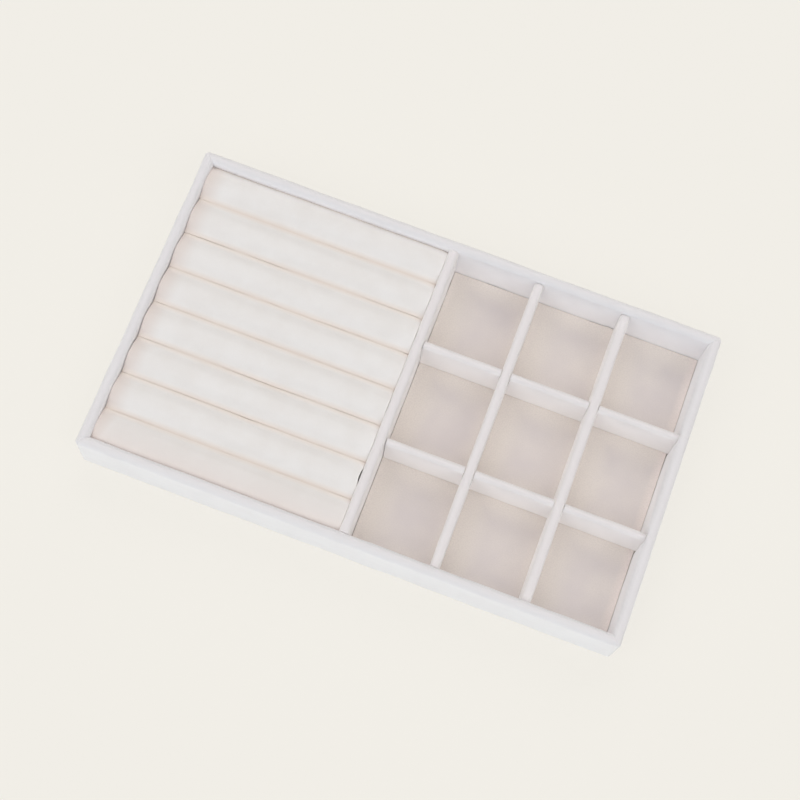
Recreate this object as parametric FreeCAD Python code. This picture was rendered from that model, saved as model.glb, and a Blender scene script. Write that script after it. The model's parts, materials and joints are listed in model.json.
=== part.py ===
import FreeCAD
import Part
import math
import os

# Velvet jewellery tray: a board tray wrapped in velvet, with a lift-out ring pad on the left and an
# egg-crate of wrapped dividers on the right. Millimetres. The origin is the centre of the underside,
# +X runs along the length towards the compartments, +Y towards the back and +Z up.

# Overall size
TRAY_LENGTH = 300.0
TRAY_DEPTH = 180.0
TRAY_HEIGHT = 32.0
CORNER_RADIUS = 2.0

# Sheet and board thicknesses
UNDERSIDE_SHEET = 0.5
BASE_BOARD = 2.0
WALL_BOARD = 3.0
DIVIDER_BOARD = 2.5
LINER_CARD = 0.6
LINER_VELVET = 0.5
PAD_CARD = 1.5
WRAP = 1.5  # velvet and its thin padding on one side of a wall or divider board
SLEEVE = 1.0  # velvet around a ring roll's foam

# Places inside the tray
MAIN_DIVIDER_X = -2.5
MAIN_DIVIDER_DROP = 0.5  # below the rim
GRID_DIVIDER_DROP = 3.0  # below the rim
LONG_DIVIDERS = ("left_divider", "right_divider")
CROSS_DIVIDERS = ("front_cross_divider", "back_cross_divider")

# Ring rolls
ROLL_COUNT = 8
ROLL_DROP = 1.2  # crown below the rim
END_ROLL_SQUEEZE = 2.8  # the first and last roll are this much narrower, pressed by the walls
ROLL_END_DRAW = 1.8  # how far the velvet draws the crown and sides in at a roll's end
ROLL_END_LENGTH = 6.0  # length of that rounding
ROLL_END_STEPS = 3

# Clearances
INSERT_CLEARANCE = 0.4  # between a lift-out piece and what stands beside it
LAP_CLEARANCE = 0.3  # in the crossing slots of the dividers
SEAM_GAP = 0.2  # between neighbouring ring rolls
LINER_MARGIN = 0.8  # between the floor liner and the walls around it

# Sizes that follow from those above
WALL = WALL_BOARD + 2 * WRAP
DIVIDER = DIVIDER_BOARD + 2 * WRAP
INNER_X = TRAY_LENGTH / 2 - WALL
INNER_Y = TRAY_DEPTH / 2 - WALL
BASE_TOP = UNDERSIDE_SHEET + BASE_BOARD
LINER_TOP = BASE_TOP + LINER_CARD + LINER_VELVET
PAD_TOP = BASE_TOP + PAD_CARD
MAIN_DIVIDER_TOP = TRAY_HEIGHT - MAIN_DIVIDER_DROP
GRID_DIVIDER_TOP = TRAY_HEIGHT - GRID_DIVIDER_DROP
ROLL_TOP = TRAY_HEIGHT - ROLL_DROP
LAP_HEIGHT = (LINER_TOP + GRID_DIVIDER_TOP) / 2
RING_BAY = (-INNER_X, MAIN_DIVIDER_X - DIVIDER / 2)
GRID_BAY = (MAIN_DIVIDER_X + DIVIDER / 2, INNER_X)

UP = FreeCAD.Vector(0, 0, 1)
ALONG_X = FreeCAD.Vector(1, 0, 0)
CENTRE = FreeCAD.Vector(0, 0, 0)


def point(x, y, z=0.0):
    return FreeCAD.Vector(x, y, z)


def block(x_span, y_span, z_span):
    """A box between two limits on each axis."""
    (x0, x1), (y0, y1), (z0, z1) = x_span, y_span, z_span
    return Part.makeBox(x1 - x0, y1 - y0, z1 - z0, point(x0, y0, z0))


def line(a, b):
    return Part.LineSegment(a, b).toShape()


def arc(a, through, b):
    return Part.Arc(a, through, b).toShape()


def polyline(points):
    return [line(a, b) for a, b in zip(points, points[1:])]


def crown(x, half, spring):
    """Two quarter arcs over a width of 2 * half, from +Y to -Y, springing at height spring."""
    lean = half * math.sqrt(0.5)
    apex = point(x, 0, spring + half)
    rising = arc(point(x, half, spring), point(x, lean, spring + lean), apex)
    falling = arc(apex, point(x, -lean, spring + lean), point(x, -half, spring))
    return [rising, falling]


def crowned_section(x, half, bottom, top):
    """Upright section across X: a flat foot, straight sides and a round crown."""
    spring = top - half
    foot = [(-half, spring), (-half, bottom), (half, bottom), (half, spring)]
    return Part.Wire(crown(x, half, spring) + polyline([point(x, y, z) for y, z in foot]))


def solid_between(wire, reach):
    return Part.Face(wire).extrude(reach)


def spread(count, low, high, thickness):
    """Centres of count upright boards that share a span out in equal clear widths."""
    clear = (high - low - count * thickness) / (count + 1)
    return [low + (k + 1) * (clear + thickness) - thickness / 2 for k in range(count)]


def wall_wrap(run):
    """The velvet over one wall's rim, outer face on -Y, as long as the run."""
    half, board = WALL / 2, WALL_BOARD / 2
    x = -run / 2
    spring = TRAY_HEIGHT - half
    edges = crown(x, half, spring)
    corners = [
        (-half, spring),
        (-half, 0),
        (-board, 0),
        (-board, TRAY_HEIGHT - WRAP),
        (board, TRAY_HEIGHT - WRAP),
        (board, BASE_TOP),
        (half, BASE_TOP),
        (half, spring),
    ]
    edges += polyline([point(x, y, z) for y, z in corners])
    return solid_between(Part.Wire(edges), ALONG_X * run)


def mitre_plan(run):
    """Plan of one wall, mitred at both ends, with the outer corners rounded. Its middle line is y = 0."""
    turn = run / 2 - CORNER_RADIUS

    def inside(side):
        return point(side * (run / 2 - WALL), WALL / 2)

    def outside(side, degrees):
        lean = math.radians(degrees)
        x = turn + CORNER_RADIUS * math.sin(lean)
        y = CORNER_RADIUS * (1 - math.cos(lean)) - WALL / 2
        return point(side * x, y)

    edges = [
        line(inside(-1), outside(-1, 45)),
        arc(outside(-1, 45), outside(-1, 22.5), outside(-1, 0)),
        line(outside(-1, 0), outside(1, 0)),
        arc(outside(1, 0), outside(1, 22.5), outside(1, 45)),
        line(outside(1, 45), inside(1)),
        line(inside(1), inside(-1)),
    ]
    return solid_between(Part.Wire(edges), UP * TRAY_HEIGHT)


def wall(run, board_length):
    """Board and velvet of one wall, its middle line on the X axis and its outer face on -Y."""
    velvet = wall_wrap(run).common(mitre_plan(run))
    half_board, half_length = WALL_BOARD / 2, board_length / 2
    board = block((-half_length, half_length), (-half_board, half_board), (BASE_TOP, TRAY_HEIGHT - WRAP))
    return board, velvet


def walls():
    """Four walls round the base. The front and back boards run through, the side boards fit between."""
    long_board = TRAY_LENGTH - 2 * WRAP
    short_board = TRAY_DEPTH - 2 * (WRAP + WALL_BOARD)
    sides = [
        ("front_wall", 0, TRAY_LENGTH, long_board, TRAY_DEPTH),
        ("right_wall", 90, TRAY_DEPTH, short_board, TRAY_LENGTH),
        ("back_wall", 180, TRAY_LENGTH, long_board, TRAY_DEPTH),
        ("left_wall", 270, TRAY_DEPTH, short_board, TRAY_LENGTH),
    ]
    parts = {}
    for name, turn, run, board_length, across in sides:
        for kind, shape in zip(("board", "velvet"), wall(run, board_length)):
            shape.translate(point(0, WALL / 2 - across / 2))
            shape.rotate(CENTRE, UP, turn)
            parts[f"{name}_{kind}"] = shape
    return parts


def base():
    """The base board, the sheet under it, and the floor liner of the compartments."""
    half_x, half_y = TRAY_LENGTH / 2 - WRAP, TRAY_DEPTH / 2 - WRAP
    plan = ((-half_x, half_x), (-half_y, half_y))
    liner_y = INNER_Y - LINER_MARGIN
    liner = ((GRID_BAY[0] + LINER_MARGIN, GRID_BAY[1] - LINER_MARGIN), (-liner_y, liner_y))
    card_top = BASE_TOP + LINER_CARD
    return {
        "underside_sheet": block(*plan, (0, UNDERSIDE_SHEET)),
        "base_board": block(*plan, (UNDERSIDE_SHEET, BASE_TOP)),
        "floor_liner_card": block(*liner, (BASE_TOP, card_top)),
        "floor_liner_velvet": block(*liner, (card_top, LINER_TOP)),
    }


def divider(length, bottom, top):
    """Board and velvet of a divider along X, centred on the origin. The velvet closes over both ends."""
    half = DIVIDER / 2
    outside = solid_between(crowned_section(-length / 2, half, bottom, top), ALONG_X * length)
    half_board, half_length = DIVIDER_BOARD / 2, length / 2 - WRAP
    board = block((-half_length, half_length), (-half_board, half_board), (bottom, top - WRAP))
    return board, outside.cut(board)


def slotted(shape, places, z_span):
    """Cut the crossing slots, each wide enough for a divider, at places along X."""
    half = DIVIDER / 2 + LAP_CLEARANCE
    for place in places:
        shape = shape.cut(block((place - half, place + half), (-DIVIDER, DIVIDER), z_span))
    return shape


def dividers():
    """The main divider, and the egg-crate: long dividers slotted from below over the cross dividers."""
    depth = 2 * (INNER_Y - INSERT_CLEARANCE)
    width = GRID_BAY[1] - GRID_BAY[0] - 2 * INSERT_CLEARANCE
    middle_x = sum(GRID_BAY) / 2
    long_places = spread(len(LONG_DIVIDERS), *GRID_BAY, DIVIDER)
    cross_places = spread(len(CROSS_DIVIDERS), -INNER_Y, INNER_Y, DIVIDER)
    below = (LINER_TOP - LAP_CLEARANCE, LAP_HEIGHT + LAP_CLEARANCE)
    above = (LAP_HEIGHT, TRAY_HEIGHT)
    parts = {}

    def add(name, shapes, turn, x, y):
        for kind, shape in zip(("board", "velvet"), shapes):
            shape.rotate(CENTRE, UP, turn)
            shape.translate(point(x, y))
            parts[f"{name}_{kind}"] = shape

    add("main_divider", divider(depth, BASE_TOP, MAIN_DIVIDER_TOP), 90, MAIN_DIVIDER_X, 0)
    for name, x in zip(LONG_DIVIDERS, long_places):
        pieces = [slotted(s, cross_places, below) for s in divider(depth, LINER_TOP, GRID_DIVIDER_TOP)]
        add(name, pieces, 90, x, 0)
    for name, y in zip(CROSS_DIVIDERS, cross_places):
        local = [x - middle_x for x in long_places]
        pieces = [slotted(s, local, above) for s in divider(width, LINER_TOP, GRID_DIVIDER_TOP)]
        add(name, pieces, 0, middle_x, y)
    return parts


def roll_body(x_span, half, top):
    """A ring roll's solid along X: full in the middle, its crown and sides drawn in at both ends."""
    low, high = x_span
    rounding = []
    for step in range(ROLL_END_STEPS + 1):
        angle = math.radians(90 * step / ROLL_END_STEPS)
        rounding.append((ROLL_END_LENGTH * (1 - math.cos(angle)), ROLL_END_DRAW * (1 - math.sin(angle))))
    stations = [(low + run, draw) for run, draw in rounding]
    stations += [(high - run, draw) for run, draw in reversed(rounding)]
    sections = [crowned_section(x, half - draw, PAD_TOP, top - draw) for x, draw in stations]
    return Part.makeLoft(sections, True, True)


def ring_pad():
    """The ring pad: a card that carries foam rolls side by side, each in a velvet sleeve."""
    low, high = RING_BAY[0] + INSERT_CLEARANCE, RING_BAY[1] - INSERT_CLEARANCE
    half_depth = INNER_Y - INSERT_CLEARANCE
    pitch = (2 * half_depth + 2 * END_ROLL_SQUEEZE) / ROLL_COUNT
    parts = {"ring_pad_card": block((low, high), (-half_depth, half_depth), (BASE_TOP, PAD_TOP))}
    front = -half_depth
    for number in range(1, ROLL_COUNT + 1):
        at_end = number in (1, ROLL_COUNT)
        width = pitch - END_ROLL_SQUEEZE if at_end else pitch
        half = (width - SEAM_GAP) / 2
        foam = roll_body((low + SLEEVE, high - SLEEVE), half - SLEEVE, ROLL_TOP - SLEEVE)
        velvet = roll_body((low, high), half, ROLL_TOP).cut(foam)
        for kind, shape in (("foam", foam), ("velvet", velvet)):
            shape.translate(point(0, front + width / 2))
            parts[f"ring_roll_{number}_{kind}"] = shape
        front += width
    return parts


def main():
    os.makedirs("parts", exist_ok=True)
    parts = {**base(), **walls(), **dividers(), **ring_pad()}
    for name, shape in parts.items():
        solid = shape.Solids[0]
        assert len(shape.Solids) == 1 and solid.isValid(), name
        solid.exportStep(f"parts/{name}.step")
        print(f"{name}: {solid.Volume / 1000:.2f} cm3, {len(solid.Faces)} faces")


main()
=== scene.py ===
# %% [markdown]
# # A velvet jewelry tray
# The tray is a shallow board box wrapped in off-white velvet. Eight padded ring rolls fill its left
# half. An egg-crate of wrapped dividers over a beige liner makes nine compartments on its right.
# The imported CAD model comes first, as a fixed frame: boards and cards are kept from it, and every
# piece of cloth is modelled here around the places that it gives.

import json
import math

import bmesh
import bpy
import numpy as np
from mathutils import Matrix, Quaternion, Vector, noise

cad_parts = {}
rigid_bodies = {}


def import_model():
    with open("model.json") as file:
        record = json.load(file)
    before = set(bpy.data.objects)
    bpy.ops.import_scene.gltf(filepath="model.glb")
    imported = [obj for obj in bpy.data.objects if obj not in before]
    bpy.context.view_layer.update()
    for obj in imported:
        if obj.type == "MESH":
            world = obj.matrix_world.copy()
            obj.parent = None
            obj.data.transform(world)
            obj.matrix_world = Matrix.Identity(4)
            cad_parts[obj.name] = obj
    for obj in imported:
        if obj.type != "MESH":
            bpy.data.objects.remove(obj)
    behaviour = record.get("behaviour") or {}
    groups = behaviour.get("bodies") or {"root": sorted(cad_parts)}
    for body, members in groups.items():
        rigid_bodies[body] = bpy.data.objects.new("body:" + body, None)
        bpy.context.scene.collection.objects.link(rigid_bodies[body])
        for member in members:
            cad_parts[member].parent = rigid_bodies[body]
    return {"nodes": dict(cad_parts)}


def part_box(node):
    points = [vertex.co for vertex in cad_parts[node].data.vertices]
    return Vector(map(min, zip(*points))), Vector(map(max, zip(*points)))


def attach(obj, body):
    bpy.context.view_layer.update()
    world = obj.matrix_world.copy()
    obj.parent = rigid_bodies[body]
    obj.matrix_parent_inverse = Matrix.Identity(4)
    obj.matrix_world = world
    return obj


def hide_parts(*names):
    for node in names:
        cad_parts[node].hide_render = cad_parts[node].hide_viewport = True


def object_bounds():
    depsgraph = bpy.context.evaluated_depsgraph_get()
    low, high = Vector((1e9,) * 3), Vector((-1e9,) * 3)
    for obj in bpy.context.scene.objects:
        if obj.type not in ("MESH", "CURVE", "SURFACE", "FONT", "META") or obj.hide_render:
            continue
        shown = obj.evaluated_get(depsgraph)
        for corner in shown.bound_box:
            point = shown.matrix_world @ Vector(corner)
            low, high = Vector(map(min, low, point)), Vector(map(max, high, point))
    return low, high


for leftover in list(bpy.data.objects):
    bpy.data.objects.remove(leftover)
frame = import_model()
cad_low, cad_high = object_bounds()
MM = 0.001  # the frame is in metres, and the sizes below are written in millimetres
scene = bpy.context.scene
tray_length, tray_depth, tray_height = cad_high - cad_low
sides = " x ".join(f"{side / MM:.0f}" for side in (tray_length, tray_depth, tray_height))
print("tray", sides, "mm,", len(frame["nodes"]), "nodes")

# %% [markdown]
# ## The camera
# The photo looks steeply down from the front, a little from the right, with the camera turned so that
# the tray lies aslant. A camera is easiest to read as a direction, a distance and a roll about its own
# line of sight, so it is written that way instead of as a matrix.

# %% Place the camera
SENSOR_WIDTH, LENS = 36.0, 75.39  # millimetres, the unit of a camera's own settings
CAMERA_AZIMUTH, CAMERA_ELEVATION, CAMERA_ROLL = 10.95, 72.05, 9.9  # degrees
CAMERA_DISTANCE = 917.0 * MM
CAMERA_AIM = Vector((-2.37, 3.24, 0.0)) * MM


def direction(azimuth, elevation):
    """Unit vector from the tray towards a camera or lamp. Azimuth 0 is the front and 90 the right."""
    a, e = math.radians(azimuth), math.radians(elevation)
    return Vector((math.sin(a) * math.cos(e), -math.cos(a) * math.cos(e), math.sin(e)))


def aimed(towards):
    """The turn that makes an object's -Z axis look back along a direction."""
    return (-towards).to_track_quat("-Z", "Y")


def placed(name, data):
    """A new object in the scene, at the origin."""
    made = bpy.data.objects.new(name, data)
    scene.collection.objects.link(made)
    return made


lens = bpy.data.cameras.new("photo_camera")
lens.sensor_width = SENSOR_WIDTH
lens.lens = LENS
camera = placed("photo_camera", lens)
sight = direction(CAMERA_AZIMUTH, CAMERA_ELEVATION)
camera.location = CAMERA_AIM + sight * CAMERA_DISTANCE
camera.rotation_mode = "QUATERNION"
camera.rotation_quaternion = aimed(sight) @ Quaternion((0, 0, 1), math.radians(CAMERA_ROLL))
scene.camera = camera
print("camera at", [round(v / MM) for v in camera.location], "mm")

# %% [markdown]
# ## Colours and nodes
# Colours are written as sRGB hex codes, the way a colour picker shows them, and turned to the linear
# values that shaders work in. Every node tree below, for light, cloth or shape, is built with one small
# function that adds a node, sets it and links it.

# %% Helpers for colours and nodes
def linear(code):
    """A hex colour as linear red, green, blue and alpha, by the formula of the sRGB standard."""
    shades = [int(code[k:k + 2], 16) / 255 for k in (0, 2, 4)]
    return [s / 12.92 if s <= 0.04045 else ((s + 0.055) / 1.055) ** 2.4 for s in shades] + [1.0]


def add(tree, kind, sockets=None, **settings):
    """Adds a node. Each socket gets a value, or a link from the node or output that is given for it."""
    node = tree.nodes.new(kind)
    for name, value in settings.items():
        setattr(node, name, value)
    for key, value in (sockets or {}).items():
        if isinstance(value, bpy.types.Node):
            value = value.outputs[0]
        if isinstance(value, bpy.types.NodeSocket):
            tree.links.new(value, node.inputs[key])
        else:
            node.inputs[key].default_value = value
    return node


def bare_tree(owner):
    """The emptied node tree of a new material or world."""
    owner.use_nodes = True
    owner.node_tree.nodes.clear()
    return owner.node_tree


# Sockets of a Mix node for colours, by number: the share of the second colour, both colours and the result
SHARE, FIRST, SECOND, MIXED = 0, 6, 7, 2
scene.view_settings.view_transform = "Standard"
print("half grey in linear light:", round(linear("808080")[0], 3))

# %% [markdown]
# ## Sky and backdrop
# The photo is a bright cut-out on flat cream, and its shading is that of a light tent: soft light from all
# round. A pale world gives the softest part of that. Where the camera looks past the tray, it shows the
# cream of the photo instead, so the light can be set without changing the backdrop.

# %% Set the sky and the backdrop
CREAM = "F0EDE6"
SKY = "FDFCF8"
SKY_STRENGTH = 0.09


def seen_directly(tree):
    """1 for what the camera sees, also in a mirror or through glass, and 0 for light on the object."""
    path = add(tree, "ShaderNodeLightPath")
    seen = add(tree, "ShaderNodeMath", {0: path.outputs["Is Camera Ray"], 1: path.outputs["Is Glossy Ray"]},
               operation="MAXIMUM")
    return add(tree, "ShaderNodeMath", {0: seen.outputs[0], 1: path.outputs["Is Transmission Ray"]},
               operation="MAXIMUM").outputs[0]


def light_world():
    """A world that lights the tray with the sky and shows the camera the backdrop."""
    world = bpy.data.worlds.new("soft_studio")
    scene.world = world
    tree = bare_tree(world)
    sky = add(tree, "ShaderNodeBackground", {"Color": linear(SKY), "Strength": SKY_STRENGTH})
    backdrop = add(tree, "ShaderNodeBackground", {"Color": linear(CREAM), "Strength": 1.0})
    both = add(tree, "ShaderNodeMixShader", {0: seen_directly(tree), 1: sky, 2: backdrop})
    add(tree, "ShaderNodeOutputWorld", {"Surface": both})


light_world()
print("sky", SKY, "at strength", SKY_STRENGTH, "and backdrop", CREAM)

# %% [markdown]
# ## The floor
# The tray lies on cream paper. A matt floor alone would have a darker shadow than the photo, so this one
# shows most of its colour to the camera directly, and only the rest depends on the light.

# %% Lay the floor
PAPER = "FEFBF4"
SHADOW_HIDDEN = 0.85  # the share of the floor's colour that no shadow darkens
FLOOR_SIDE = 12.0  # metres
FLOOR_DROP = 0.1 * MM


def lay_floor():
    paper = bpy.data.materials.new("cream_paper_floor")
    tree = bare_tree(paper)
    matt = add(tree, "ShaderNodeBsdfDiffuse", {"Color": linear(PAPER)})
    flat = add(tree, "ShaderNodeEmission", {"Color": linear(CREAM), "Strength": 1.0})
    hidden = add(tree, "ShaderNodeMath", {0: seen_directly(tree), 1: SHADOW_HIDDEN}, operation="MULTIPLY")
    both = add(tree, "ShaderNodeMixShader", {0: hidden, 1: matt, 2: flat})
    add(tree, "ShaderNodeOutputMaterial", {"Surface": both})
    half = FLOOR_SIDE / 2
    corners = (-half, -half), (half, -half), (half, half), (-half, half)
    mesh = bpy.data.meshes.new("floor")
    mesh.from_pydata([(x, y, -FLOOR_DROP) for x, y in corners], [], [(0, 1, 2, 3)])
    mesh.materials.append(paper)
    floor = placed("floor", mesh)


lay_floor()
print(f"floor {FLOOR_SIDE:.0f} m wide, {SHADOW_HIDDEN:.0%} of its colour shown directly")

# %% [markdown]
# ## The lamps
# Wide suns stand for the lit sides of the tent. They are a little stronger at the front, and a trace of
# cool daylight comes low from there. Area lamps would do as well, but a sun lights every place alike,
# whatever its distance, so the light on the floor is easy to add up.

# %% Set up the lamps
# Name, azimuth, elevation and width in degrees, strength, colour
SUNS = (
    ("front_left_softbox", -45.0, 45.0, 50.0, 1.00, "FFFEFC"),
    ("front_right_softbox", 45.0, 45.0, 50.0, 0.80, "FFFEFC"),
    ("right_softbox", 90.0, 45.0, 50.0, 0.47, "FFFEFC"),
    ("back_softbox", 180.0, 45.0, 50.0, 0.90, "FFFEFC"),
    ("back_left_softbox", -125.0, 45.0, 50.0, 0.50, "FFFEFC"),
    ("front_window", 0.0, 14.0, 60.0, 0.34, "AEDAFF"),
)


def sun(name, azimuth, elevation, width, strength, code):
    lamp = bpy.data.lights.new(name, "SUN")
    lamp.energy = strength
    lamp.angle = math.radians(width)
    lamp.color = linear(code)[:3]
    holder = placed(name, lamp)
    holder.rotation_mode = "QUATERNION"
    holder.rotation_quaternion = aimed(direction(azimuth, elevation))


level = SKY_STRENGTH
for name, azimuth, elevation, width, strength, code in SUNS:
    sun(name, azimuth, elevation, width, strength, code)
    level += strength * math.sin(math.radians(elevation)) / math.pi
print(f"light level on the floor {level:.2f}, where 1 shows a colour as it is written")

# %% [markdown]
# ## Velvet
# The walls, dividers and rolls are covered in short-pile cotton velvet, in three slightly different
# whites. Up close it is a field of upright fibres: it has no gloss, it lightens where it is seen edge-on,
# and strokes of the hand leave darker and lighter patches. Hairs could give that, but none would show from
# here, so a shader does it: its sheen gives the light edges, and two noise patterns the patches and the
# tufts. The tops of rims and dividers get painted shade, a little darker than the faces. The direction of
# a face tells where that is.

# %% Mix the velvet of walls and dividers
# Light and dark shade of the pile, and painted shade for faces that look up
# The walls' white is a little cooler than the dividers' and rolls', as painted light for cool daylight from
# the front
WALL_WHITES = "FBFAFC", "F7F5F7", "E9E6E8"
DIVIDER_WHITES = "FDF9F8", "F9F5F4", "EBE6E7"
MATT = {"Roughness": 0.95, "Specular IOR Level": 0.15}
VELVET_SHEEN = {"Sheen Weight": 0.35, "Sheen Roughness": 0.5}
BRUSH_MARK = 14.0 * MM  # size of a patch where the pile leans one way
BRUSH_LOW, BRUSH_HIGH = 0.35, 0.65  # noise values between which a patch turns darker
BRUSH_SHARE, TUFT_SHARE = 0.7, 0.5  # how much patches and tufts show
TUFT = 0.9 * MM  # real pile is about 0.25 mm, too fine to show from here
TUFT_HEIGHT = 0.12 * MM
BUMP = 0.5  # strength of every relief
TOP_SHADE_STARTS, TOP_SHADE_FULL = 0.3, 0.95  # how far up a face looks where the painted top shade starts, and is full


def start_material(name, shader):
    """A material with a Principled shader, and the Object coordinates that its patterns use."""
    made = bpy.data.materials.new(name)
    tree = bare_tree(made)
    surface = add(tree, "ShaderNodeBsdfPrincipled", shader)
    add(tree, "ShaderNodeOutputMaterial", {"Surface": surface})
    place = add(tree, "ShaderNodeTexCoord").outputs["Object"]
    return made, tree, surface, place


def cotton_velvet(name, light, dark):
    """Short-pile velvet in two close shades. Its tone is returned for painted shade to be laid over."""
    made, tree, surface, place = start_material(name, MATT | VELVET_SHEEN)
    brushed = add(tree, "ShaderNodeTexNoise", {"Vector": place, "Scale": 1 / BRUSH_MARK, "Detail": 3.0})
    tufts = add(tree, "ShaderNodeTexNoise", {"Vector": place, "Scale": 1 / TUFT, "Detail": 2.0})
    leaning = add(tree, "ShaderNodeMapRange",
                  {"Value": brushed, "From Min": BRUSH_LOW, "From Max": BRUSH_HIGH, "To Max": BRUSH_SHARE})
    shaded = add(tree, "ShaderNodeMath", {0: tufts, 1: TUFT_SHARE, 2: leaning},
                 operation="MULTIPLY_ADD", use_clamp=True)
    tone = add(tree, "ShaderNodeMix", {SHARE: shaded, FIRST: linear(light), SECOND: linear(dark)},
               data_type="RGBA")
    pile = add(tree, "ShaderNodeBump", {"Height": tufts, "Strength": BUMP, "Distance": TUFT_HEIGHT})
    tree.links.new(pile.outputs[0], surface.inputs["Normal"])
    return made, tree, surface, place, tone.outputs[MIXED]


def board_velvet(name, light, dark, ground):
    """Velvet drawn over a board, with painted shade where a face looks up."""
    made, tree, surface, _, tone = cotton_velvet(name, light, dark)
    # Painted shade: the more a face looks up, the more it takes the third, darker colour
    normal = add(tree, "ShaderNodeTexCoord").outputs["Normal"]
    upward = add(tree, "ShaderNodeSeparateXYZ", {0: normal}).outputs["Z"]
    painted_top_shade = add(tree, "ShaderNodeMapRange", {"Value": upward, "From Min": TOP_SHADE_STARTS, "From Max": TOP_SHADE_FULL})
    with_painted_shade = add(tree, "ShaderNodeMix", {SHARE: painted_top_shade, FIRST: tone, SECOND: linear(ground)}, data_type="RGBA")
    tree.links.new(with_painted_shade.outputs[MIXED], surface.inputs["Base Color"])
    return made


wall_velvet = board_velvet("cool_white_cotton_velvet", *WALL_WHITES)
divider_velvet = board_velvet("warm_white_cotton_velvet", *DIVIDER_WHITES)
for cloth in (wall_velvet, divider_velvet):
    print(cloth.name, len(cloth.node_tree.nodes), "nodes")

# %% [markdown]
# ### The velvet of the ring rolls
# On the rolls painted shade lies in the grooves for the rings, and painted shadow in strips along the left
# and front walls. The seams lie at even steps, so a distance that goes to and fro between them finds the
# nearest groove. All of it fades out down the sides of a roll, which show when the pad is lifted.

# %% Mix the velvet of the rolls
# Light and dark shade of the pile, painted shade for the grooves, and painted shadow along the walls
ROLL_LIGHT, ROLL_DARK, ROLL_GROOVE_SHADE, ROLL_WALL_SHADOW = "F0EDEC", "ECE8E6", "E3D8D0", "E2D7D2"
SEAM_CLOSE, SEAM_SHIFT = 0.9945, -1.25 * MM  # the seams lie a little closer, and further to the front
GROOVE_SHADE_REACH = 3.0 * MM  # of a groove's painted shade, to each side of its seam
LEFT_SHADOW_REACH, FRONT_SHADOW_REACH = 12.0 * MM, 18.0 * MM  # of the painted shadow along two walls
FRONT_SHADE = 0.65  # the share of the painted shadow that shows along the front wall
SHADE_FADES, SHADE_GONE = 26.5 * MM, 24.0 * MM  # heights between which all shade fades out down a side


def seam_place(even):
    """Where a seam between two rolls lies, from its even place in the CAD model."""
    return even * SEAM_CLOSE + SEAM_SHIFT


def cushion_velvet():
    """Velvet for all the rolls, with painted shade in the grooves over painted shadow along the walls."""
    made, tree, surface, place, tone = cotton_velvet("grooved_cotton_velvet", ROLL_LIGHT, ROLL_DARK)
    (left, front, _), first_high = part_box("ring_roll_1_velvet")
    second_low, third_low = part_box("ring_roll_2_velvet")[0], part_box("ring_roll_3_velvet")[0]
    seam = seam_place((first_high.y + second_low.y) / 2)
    half_step = (third_low.y - second_low.y) * SEAM_CLOSE / 2
    x, y, z = add(tree, "ShaderNodeSeparateXYZ", {0: place}).outputs
    # Painted shade in the grooves, by the distance to the nearest seam
    from_first = add(tree, "ShaderNodeMath", {0: y, 1: seam}, operation="SUBTRACT")
    from_seam = add(tree, "ShaderNodeMath", {0: from_first, 1: half_step}, operation="PINGPONG")
    groove_shade_share = add(tree, "ShaderNodeMapRange", {"Value": from_seam, "From Min": GROOVE_SHADE_REACH, "From Max": 0.0})
    # Painted shadow of the left and front walls on the ends of the rolls and on the first roll
    at_left = add(tree, "ShaderNodeMapRange", {"Value": x, "From Min": left + LEFT_SHADOW_REACH, "From Max": left},
                  interpolation_type="SMOOTHSTEP")
    at_front = add(tree, "ShaderNodeMapRange",
                   {"Value": y, "From Min": front + FRONT_SHADOW_REACH, "From Max": front, "To Max": FRONT_SHADE})
    at_edge = add(tree, "ShaderNodeMath", {0: at_left, 1: at_front}, operation="MAXIMUM")
    shown = add(tree, "ShaderNodeMapRange", {"Value": z, "From Min": SHADE_GONE, "From Max": SHADE_FADES},
                interpolation_type="SMOOTHSTEP")
    groove = add(tree, "ShaderNodeMath", {0: groove_shade_share, 1: shown}, operation="MULTIPLY")
    edge = add(tree, "ShaderNodeMath", {0: at_edge, 1: shown}, operation="MULTIPLY")
    # The painted shadow along the walls is laid over the pile
    with_painted_edge = add(tree, "ShaderNodeMix", {SHARE: edge, FIRST: tone, SECOND: linear(ROLL_WALL_SHADOW)},
                data_type="RGBA").outputs[MIXED]
    # The painted shade of the grooves is laid over the rest
    with_painted_shade = add(tree, "ShaderNodeMix", {SHARE: groove, FIRST: with_painted_edge, SECOND: linear(ROLL_GROOVE_SHADE)},
               data_type="RGBA")
    tree.links.new(with_painted_shade.outputs[MIXED], surface.inputs["Base Color"])
    return made


roll_velvet = cushion_velvet()
print(roll_velvet.name, len(roll_velvet.node_tree.nodes), "nodes")

# %% [markdown]
# ## Felt, board and card
# The underside has a thin felt. The boards inside the covers are MDF, pressed from wood fibre, and the
# cards are grey board with flecks of recycled paper. One function serves them all, because each is a
# matt ground with flecks of a second colour at its own scale.

# %% Mix the other materials
FELT_SHEEN = {"Sheen Weight": 0.2, "Sheen Roughness": 0.6}
FELT_RELIEF, BOARD_RELIEF = 0.1 * MM, 0.03 * MM
MOTTLE_SCALE, MOTTLE_SHARE = 0.06, 0.8  # of the broad noise that gathers flecks, next to their own noise
FLECKS_START, FLECKS_FULL = 0.6, 1.2  # sums of both noises between which the second colour comes in


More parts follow.
